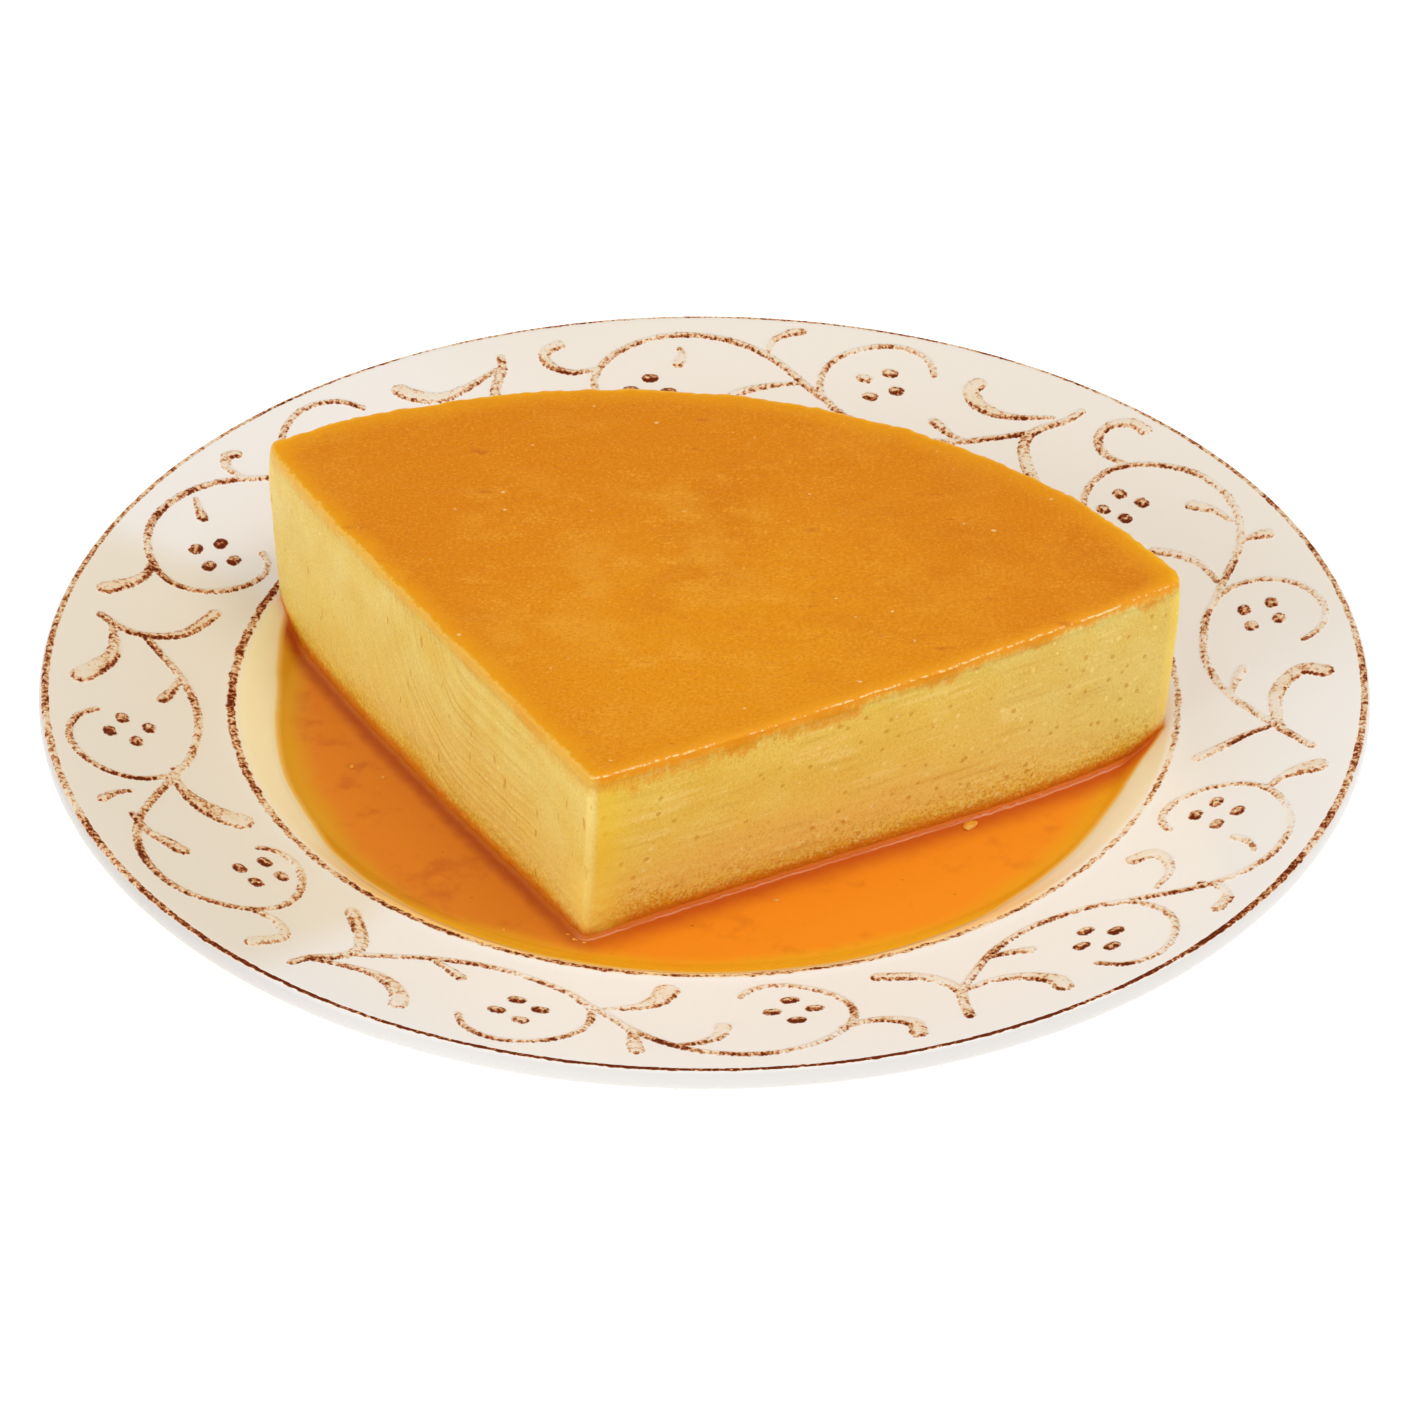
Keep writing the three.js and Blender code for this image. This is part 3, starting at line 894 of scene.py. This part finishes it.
def fan_point(round_share, out_share):
    """A point of the caramel's face, by its share of the way round and of the way out from the corner."""
    cut = corner_at("cut", brim_lift)
    breadth = out_share * side_lengths["pan"]
    depth = (1 - out_share) * side_lengths["left cut"]
    by_pan = max(0, 1 - depth / rag_reach)
    flat = cut.lerp(outline_at("pan", round_share, brim_lift)[0], out_share)
    flat += rag_at("pan", round_share) * by_pan
    for corner, pan_end in (("right", 0), ("left", 1)):
        side = corner + " cut"
        share = abs(out_share - pan_end)
        aside = abs(round_share - pan_end)
        swell = outline_at(side, share, brim_lift)[0] - cut.lerp(corner_at(corner, brim_lift), out_share)
        by_side = max(0, 1 - aside * max(breadth / rag_reach, 1))
        flat += swell * (1 - aside) ** 2 + (rag_at(side, share) - rag_at("pan", pan_end) * by_pan) * by_side
    to_edge = min(round_share * breadth, (1 - round_share) * breadth, depth)
    rounding = 1 - max(0, 1 - to_edge / edge_width) ** 2
    pit = max(0, ripple(flat.x / pit_size, flat.y / pit_size, 3.3) - pit_from) * pit_depth
    height = brim_height(flat) + (edge_drop + brim_dip) * rounding - pit * min(to_edge / pit_margin, 1)
    return flat.x, flat.y, height


bm = bmesh.new()
bent_grid(bm, fan_columns, fan_rows, fan_point)
for side, steps in side_steps.items():
    def band(share, rise):
        flat = side_point(side, share, joint_height + (brim - joint_height) * rise)
        return flat.x, flat.y, joint_height + (brim_height(flat) - joint_height) * rise
    bent_grid(bm, steps, band_rows, band)
close_ends(bm)
for side, steps in side_steps.items():
    brink = kdtree.KDTree(steps + 1)
    for step in range(steps + 1):
        brink.insert(side_point(side, step / steps, brim).to_3d(), step)
    brink.balance()
    edge_layer = bm.verts.layers.float.new("to_" + side.replace(" ", "_"))
    for vert in bm.verts:
        vert[edge_layer] = brink.find((vert.co / MM).xy.to_3d())[2]
caramel = finish_mesh(bm, "caramel_layer")

amber = paint(218, 128, 8)
# Painted sheen: the face is lighter round its middle, where the light's soft reflection lies.
sheen_amber = paint(227, 144, 12)
wisp_amber = paint(237, 166, 50)
deep_amber = paint(206, 113, 8)
edge_amber = paint(236, 158, 28)
left_gold = paint(234, 155, 16)
left_yellow = paint(222, 158, 20)
rim_gold = paint(236, 158, 16)
rim_yellow = paint(242, 172, 22)
brown_spot = paint(188, 84, 16)
# Painted highlights: glints along the right edge and pale flecks on the face.
edge_glint = paint(253, 220, 156)
sheen_at = Vector((4, -36, 46))
wispiest_at = Vector((-12, -14, 46))


def away_from(finish, point):
    """How far a place is from a point, in millimetres."""
    ends = {0: finish.place(), 1: point * MM}
    return finish.node("ShaderNodeVectorMath", {"operation": "DISTANCE"}, ends, "Value") * (1 / MM)


finish = Finish("caramel_face")
across, back, height = finish.axes()
from_top = height - top_height
wisps_at = stretched(finish, (0.5, 1, 1), 0.2)
clouds = finish.grain(30, 2.5) - 0.5
wisps = finish.grain(4.5, 5, at=wisps_at, rough=0.75) - 0.5
fine = finish.grain(0.6, 3, rough=0.8) - 0.5
to_left = finish.attribute("to_left_cut")
to_right = finish.attribute("to_right_cut")
to_pan = finish.attribute("to_pan")
# Painted sheen round the middle of the face.
sheen = (away_from(finish, sheen_at) + clouds * 40).rise(10, 72, 1, 0)
wispy = (away_from(finish, wispiest_at) + clouds * 40).rise(10, 50, 1, 0.3)
rim_share = across.rise(25, 50, 1, 0.8) + across.rise(62, 77) * 0.45
spots = finish.grain(4.6, 2.5, at=wisps_at).rise(0.67, 0.78)
# Painted glints: pale flecks where the face's small bumps catch the light.
glint_flecks = finish.grain(1.9, 0.8).rise(0.765, 0.82)
face_colour = finish.coats(
    amber,
    (sheen, sheen_amber),
    ((clouds + wisps * 0.3).rise(-0.04, -0.24) * 0.55, deep_amber),
    (finish.grain(13, 3).rise(0.5, 0.68) * wispy * 0.4, wisp_amber),
    ((wisps + fine * 0.6).rise(0.02, 0.24) * wispy * 0.75, wisp_amber),
    (fine.rise(0.0, 0.2) * 0.6, wisp_amber),
    (fine.rise(0.0, -0.2) * 0.65, deep_amber),
    ((to_right + wisps * 3).rise(0, 3.4, 0.75, 0), edge_amber),
    ((to_left + wisps * 4).rise(0, 5.2, 0.85, 0), left_gold),
    ((to_left + fine * 1.5).rise(0.3, 1.3, 0.7, 0), left_yellow),
    ((to_pan + wisps * 4).rise(0.4, 7, 0.7, 0) * rim_share, rim_gold),
    ((to_pan + wisps * 2).rise(0.3, 1.8, 0.9, 0) * rim_share, rim_yellow),
    (spots * 0.5, brown_spot),
    (glint_flecks * 0.6, edge_glint))
ragged = finish.grain(1.1, 3, rough=0.7) - 0.5
over_edge = (from_top + fine * 0.8).rise(-0.9, -0.3) * (to_left + ragged * 2.4 + fine).rise(0.25, 0.6)
# Painted glints in beads along the rounded right edge.
beads = finish.grain(0.9, 2, rough=0.6) + (finish.grain(6, 1.5) - 0.5) * 0.5
ridge = (from_top + wisps * 0.3 + fine * 0.2).rise(-0.45, -0.35) * from_top.rise(-0.16, -0.26)
glints = ridge * (to_right + fine * 0.4).rise(0.8, 0.4) * beads.rise(0.44, 0.62)
colour = finish.coats(custard_skin(finish)[0], (over_edge, face_colour), (glints * 0.9, edge_glint))
caramel.data.materials.append(finish.surface(
    Base_Color=colour, Normal=finish.bump(wisps * 0.1 + fine * 0.12, 1.0, 0.6),
    Roughness=0.42, IOR=1.42, Specular_IOR_Level=0.15,
    Subsurface_Weight=0.2, Subsurface_Radius=(1, 0.5, 0.12), Subsurface_Scale=2 * MM))
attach(caramel, "root")
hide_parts("caramel_top")


# ---------------------------------------------------------------- syrup
# Thin caramel syrup that has run off the wedge and lies in the well, parted in two pools by the wedge.
# It climbs a little where it wets the custard and runs out to a thin golden film on the plate's wall.

pool_steps = 720
pool_rows = 36
film_depth = 0.25
film_reach = 2.5
least_depth = 0.02
film_melt = 0.35
least_breadth = 0.05
edge_crowding = 0.6
wetting_reach = 1.5
# How far the syrup climbs the custard on the left of the cut corner and on the right of it.
left_wetting = 0.2
right_wetting = 0.5
cut_turn = math.radians(253)
wetting_turn = 4
# How far the pool's edge lies from the middle of the well, by degrees round it.
shore_marks = [(0, 77), (20, 75), (60, 74.5), (120, 74.5), (150, 77), (159.3, 80), (162.5, 78.9),
               (166.6, 77.9), (170, 77), (175, 75.8), (181, 75.2), (195, 75.6), (208, 76.0), (216, 77.7),
               (232, 79.2), (250, 81.2), (285, 81.2), (301, 79.2), (318, 76.6), (333, 75.9), (342, 76.4),
               (347, 77.7), (350, 79.3), (352.6, 80.6), (355, 80.2), (360, 77)]


def turn_of(flat):
    return math.atan2(flat.y, flat.x) % math.tau


wedge_ring = []
for side, steps in side_steps.items():
    wedge_ring += [side_point(side, step / steps, syrup_height) for step in range(steps)]
wedge_ring.sort(key=turn_of)
wedge_turns = [turn_of(flat) for flat in wedge_ring]


def wedge_radius(turn):
    """How far the wedge reaches from the middle of the well, in a direction."""
    after = bisect_right(wedge_turns, turn % math.tau) % len(wedge_ring)
    a = wedge_ring[after - 1]
    run = wedge_ring[after] - a
    return (a.x * run.y - a.y * run.x) / (math.cos(turn) * run.y - math.sin(turn) * run.x)


def shore_radius(turn):
    """How far the pool's edge lies from the middle of the well, in a direction."""
    degrees = math.degrees(turn) % 360
    after = bisect_right(shore_marks, (degrees, 1000))
    (first, near), (second, far) = shore_marks[after - 1], shore_marks[after]
    share = (degrees - first) / (second - first)
    wave = ripple(math.cos(turn) * 9, math.sin(turn) * 9, 4.9) * 0.3
    return near + (far - near) * share + wave


def pool_end(open_turn, shut_turn):
    """The turn where the wedge meets the pool's edge, between one with syrup and one without."""
    for again in range(30):
        turn = (open_turn + shut_turn) / 2
        if shore_radius(turn) - wedge_radius(turn) > 0.1:
            open_turn = turn
        else:
            shut_turn = turn
    return open_turn


wedge_tree = kdtree.KDTree(len(wedge_ring))
for i, flat in enumerate(wedge_ring):
    wedge_tree.insert(flat.to_3d(), i)
wedge_tree.balance()


def make_pool(name, first, last):
    """One pool as a closed body from one turn to another, with its distance to the shore and from the wedge
    kept at each point.
    """
    def face_point(round_share, out_share):
        turn = first + (last - first) * round_share
        inner = wedge_radius(turn)
        outer = max(shore_radius(turn), inner + least_breadth)
        crowded = out_share - edge_crowding * math.sin(math.tau * out_share) / math.tau
        radius = inner + (outer - inner) * crowded
        flat = Vector((radius * math.cos(turn), radius * math.sin(turn), 0))
        bed = face_height(radius) + plate_gap
        past_cut = clamp(math.degrees(turn % math.tau - cut_turn) / wetting_turn + 0.5)
        wetting = left_wetting + (right_wetting - left_wetting) * past_cut
        level = syrup_height + wetting * (1 - ease(wedge_tree.find(flat)[2] / wetting_reach))
        to_shore = outer - radius
        film = bed + film_depth * ease(to_shore / film_reach)
        melt = film_melt * min(to_shore, 1)
        height = (level + film + math.sqrt((level - film) ** 2 + melt ** 2)) / 2
        if to_shore < 1e-6:
            height = bed
        return flat.x, flat.y, max(height, bed + least_depth)

    def under_point(round_share, out_share):
        x, y, height = face_point(round_share, out_share)
        on_edge = min(round_share, 1 - round_share, out_share, 1 - out_share) < 1e-4
        bed = face_height(math.hypot(x, y)) + plate_gap
        return x, y, height if on_edge else min(bed, height - least_depth)

    bm = bmesh.new()
    bent_grid(bm, pool_steps, pool_rows, face_point)
    bent_grid(bm, pool_steps, pool_rows, under_point)
    close_ends(bm)
    shore_layer = bm.verts.layers.float.new("to_shore")
    wedge_layer = bm.verts.layers.float.new("from_wedge")
    for vert in bm.verts:
        flat = vert.co.xy / MM
        vert[shore_layer] = shore_radius(turn_of(flat)) - flat.length
        vert[wedge_layer] = wedge_tree.find(flat.to_3d())[2]
    return finish_mesh(bm, name)


left_turn = turn_of(base_corners["left"])
right_turn = turn_of(base_corners["right"])
pool_ends = {
    "front": (pool_end(math.radians(200), left_turn), pool_end(math.radians(330), right_turn)),
    "back": (pool_end(math.radians(20), right_turn - math.tau), pool_end(math.radians(120), left_turn)),
}

# The left copies of the syrup's colours are darker: painted shade over the left of the well.
shaded_thin_left = paint(218, 152, 26)
thin_right = paint(234, 160, 24)
front_gold = paint(240, 178, 28)
pale_film = paint(236, 192, 104)
bright_syrup = paint(244, 141, 26)
shaded_left_syrup = paint(221, 123, 27)
mottled_syrup = paint(203, 100, 22)
# Painted shade in bands along the wedge's foot, the left one a deeper shadow.
shade_by_right_foot = paint(204, 92, 26)
shade_by_left_foot = paint(178, 78, 24)
shaded_foot_left = paint(204, 114, 32)
foot_right = paint(222, 120, 38)
# A painted highlight: the thin pale line where the meniscus catches the light.
highlight_pink = paint(240, 168, 126)
dark_speck = paint(150, 60, 20)
highlight_at = 1.0

finish = Finish("caramel_syrup")
across, back, up = finish.axes()
from_middle = apart(across, back)
to_shore = finish.attribute("to_shore")
from_wedge = finish.attribute("from_wedge")
clouds = finish.grain(13, 3) - 0.5
streaks = finish.grain(4, 3, rough=0.6) - 0.5
# Painted shade over the left of the well.
left = (across + clouds * 16).rise(-32, -6, 1, 0)
in_front = back.rise(-66, -56, 1, 0)
mottle = (clouds + streaks * 0.8).rise(0.02, 0.28) * (left * 0.45 + 0.35)
full = finish.coats(bright_syrup, (left, shaded_left_syrup), (mottle, mottled_syrup))
thin = finish.coats(thin_right, (left, shaded_thin_left), (in_front, front_gold))
runs_out = (to_shore + clouds * 3).rise(2, 8, 1, 0)
near_wall = (from_middle + clouds * 3).rise(70, 76) * in_front
# Painted shade in bands along the wedge's foot.
right_foot_shade = (from_wedge + streaks * 2).rise(0.8, 7, 1, 0)
left_foot_shade = (from_wedge + streaks * 1.5).rise(1.2, 4.4, 1, 0)
by_foot = (from_wedge + streaks * 0.6).rise(0.1, 1.3, 0.9, 0)
specks = finish.grain(1.4, 1.0).rise(0.79, 0.82)
# A painted highlight along the meniscus, right of the cut corner.
line = abs(from_wedge + streaks * 0.5 - highlight_at).rise(0.03, 0.21, 1, 0)
line = line * across.rise(-22, -18.5) * to_shore.rise(1, 3) * (streaks + clouds).rise(-0.3, 0.1, 0.25, 0.65)
by_corner = across.rise(60, 70) * back.rise(-32, -20)
film_reached = to_shore * (1 + in_front + by_corner * 0.5)
syrup_colour = finish.coats(
    full,
    (runs_out.at_least(near_wall), thin),
    (right_foot_shade * (1 - left), shade_by_right_foot),
    (left_foot_shade * left, shade_by_left_foot),
    (by_foot, finish.blend(left, foot_right, shaded_foot_left)),
    (specks * 0.6, dark_speck),
    (line, highlight_pink),
    (film_reached.rise(0.6, 1.9, 1, 0), pale_film),
    (film_reached.rise(0.1, 0.95, 1, 0), wall_cream(finish, across, back, from_middle)))
syrup_material = finish.surface(
    Base_Color=syrup_colour, Normal=finish.bump(streaks * 0.08 * to_shore.rise(1, 3), 1.0),
    Roughness=to_shore.rise(0, 2.5, 0.22, 0.12), IOR=1.45, Specular_IOR_Level=0.4)
for place, (first, last) in pool_ends.items():
    pool = make_pool("syrup_pool_" + place, first, last)
    pool.data.materials.append(syrup_material)
    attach(pool, "root")
    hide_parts("syrup_" + place)


# ---------------------------------------------------------------- custard crumbs
# A few crumbs of custard that the knife left, lying on the syrup and wet with it.
# They are small lumps, wider than they are tall, sunk a little into the syrup.

crumb_places = [((45, -34.4), 1.0), ((-60.5, -18), 0.35), ((-55, -21), 0.3), ((12, -55.6), 0.4),
                ((-33, -64), 0.3), ((-21.3, -66.6), 0.3), ((-19.6, -67.4), 0.22), ((-22.4, -65.2), 0.22)]
crumb_shape = Vector((1.5, 1.0, 0.55))
crumb_lumps = 0.45
crumb_rise = 0.2
random.seed(5)
bm = bmesh.new()
for (x, y), half in crumb_places:
    made = bmesh.ops.create_icosphere(bm, subdivisions=3, radius=half)
    twist = Matrix.Rotation(random.uniform(0, math.tau), 3, "Z")
    middle = Vector((x, y, syrup_height + half * crumb_rise))
    for vert in made["verts"]:
        lump = 1 + ripple(vert.co.x / half + x, vert.co.y / half, vert.co.z / half + y) * crumb_lumps
        vert.co = (twist @ (vert.co * lump * crumb_shape) + middle) * MM
bmesh.ops.recalc_face_normals(bm, faces=bm.faces)
crumbs = finish_mesh(bm, "custard_crumbs")
wet_crumb = paint(238, 170, 66)
finish = Finish("syrupy_crumb")
wet = finish.grain(0.8, 2).rise(0.35, 0.7)
crumbs.data.materials.append(finish.surface(
    Base_Color=finish.blend(wet, wet_crumb, stained_custard), Roughness=0.25,
    Normal=finish.bump(finish.grain(0.4, 2), 0.2, 0.6)))
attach(crumbs, "root")


# ---------------------------------------------------------------- floor and light
# A plain white table that glows faintly, and soft studio light: a broad lamp overhead and a fill from the
# left. The sky is white but for a dim patch behind, so that the syrup doesn't mirror plain white.

floor_size = 6
floor_glow = 0.3
sky_strength = 0.9
dark_strength = 0.12
dark_way = Vector((0, 0.82, 0.57))
dark_from = 0.86
dark_full = 0.96
lamp_aim = Vector((0, 0, 0.03))

bm = bmesh.new()
bmesh.ops.create_grid(bm, x_segments=1, y_segments=1, size=floor_size / 2)
floor = finish_mesh(bm, "floor")
finish = Finish("white_table")
floor.data.materials.append(finish.surface(
    Base_Color=paint(250, 250, 250), Roughness=0.9, Specular_IOR_Level=0.1,
    Emission_Color=(1, 1, 1, 1), Emission_Strength=floor_glow))

scene = bpy.context.scene
scene.view_settings.view_transform = "Standard"
sky = Finish("studio", bpy.data.worlds)
sky_way = sky.node("ShaderNodeTexCoord", {}, {}, "Generated")
to_dark = sky.node("ShaderNodeVectorMath", {"operation": "DOT_PRODUCT"}, {0: sky_way, 1: dark_way}, "Value")
sky_light = to_dark.rise(dark_from, dark_full, sky_strength, dark_strength)
sky_shader = sky.node("ShaderNodeBackground", {}, {"Color": (1, 1, 1, 1), "Strength": sky_light})
scene.world = sky.end("ShaderNodeOutputWorld", sky_shader)


def lamp(name, place, size, power):
    """A soft square lamp that faces the wedge."""
    data = bpy.data.lights.new(name, "AREA")
    data.size = size
    data.energy = power
    made = bpy.data.objects.new(name, data)
    made.location = place
    made.rotation_euler = (lamp_aim - made.location).to_track_quat("-Z", "Y").to_euler()
    scene.collection.objects.link(made)


lamp("overhead lamp", Vector((0.5, -0.1, 1.3)), 0.6, 3.2)
lamp("left fill", Vector((-1.2, -0.7, 0.6)), 0.8, 3.2)
